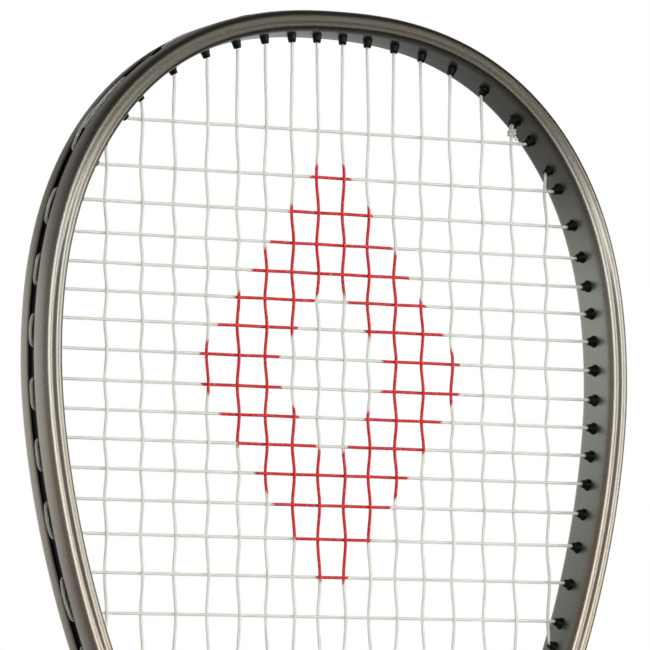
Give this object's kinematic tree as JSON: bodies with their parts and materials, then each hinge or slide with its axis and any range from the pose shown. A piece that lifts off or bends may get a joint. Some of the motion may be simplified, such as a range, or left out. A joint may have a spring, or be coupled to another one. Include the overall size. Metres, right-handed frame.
{
  "type": "tennis racket with vibration dampener",
  "caption": "Strung tennis racket with a round rubber vibration dampener on its two centre main strings above the throat.",
  "frame": {"origin": "centre of the butt end face", "axes": "+Z from the butt to the tip of the head, +X across the head to the right, -Y the front face of the string bed"},
  "size_m": [0.26, 0.0346, 0.6843],
  "materials": {
    "frame_lacquer": "satin metallic bronze lacquer over carbon composite, fine sparkle grain",
    "black_nylon": "satin moulded nylon",
    "string": "off-white polymer string with a plain red stencil",
    "handle_foam": "moulded polyurethane foam",
    "plug_foam": "soft open foam",
    "staple_wire": "bright wire",
    "grip_wrap": "perforated synthetic leather wrap with a raised seam",
    "tape": "thin vinyl tape",
    "collar_rubber": "soft matt rubber",
    "dampener_rubber": "soft silicone rubber",
    "dampener_accent": "satin red rubber insert"
  },
  "bodies": {
    "racket": {"frame": "frame_lacquer", "throat_bridge": "frame_lacquer", "bumper_guard": "black_nylon", "grommet_strip_right": "black_nylon", "grommet_strip_left": "black_nylon", "throat_grommet_strip": "black_nylon", "main_string": "string", "cross_string": "string", "pallet_front": "handle_foam", "pallet_back": "handle_foam", "butt_cap": "black_nylon", "butt_staple_right": "staple_wire", "butt_staple_left": "staple_wire", "tube_plug_right": "plug_foam", "tube_plug_left": "plug_foam", "grip": "grip_wrap", "finishing_tape": "tape"},
    "dampener": {"dampener_body": "dampener_rubber", "dampener_cap": "dampener_accent"},
    "trap_door": {"trap_door": "black_nylon"},
    "collar": {"collar": "collar_rubber"}
  },
  "joints": [
    {"name": "dampener_slide", "type": "slide", "parent": "racket", "child": "dampener", "axis": [0, 0, 1], "range_m": [-0.004, 0.004]},
    {"name": "trap_door_pull", "type": "slide", "parent": "racket", "child": "trap_door", "axis": [0, 0, -1], "range_m": [0, 0.03]},
    {"name": "collar_slide", "type": "slide", "parent": "racket", "child": "collar", "axis": [0, 0, 1], "range_m": [0, 0.028]}
  ]
}
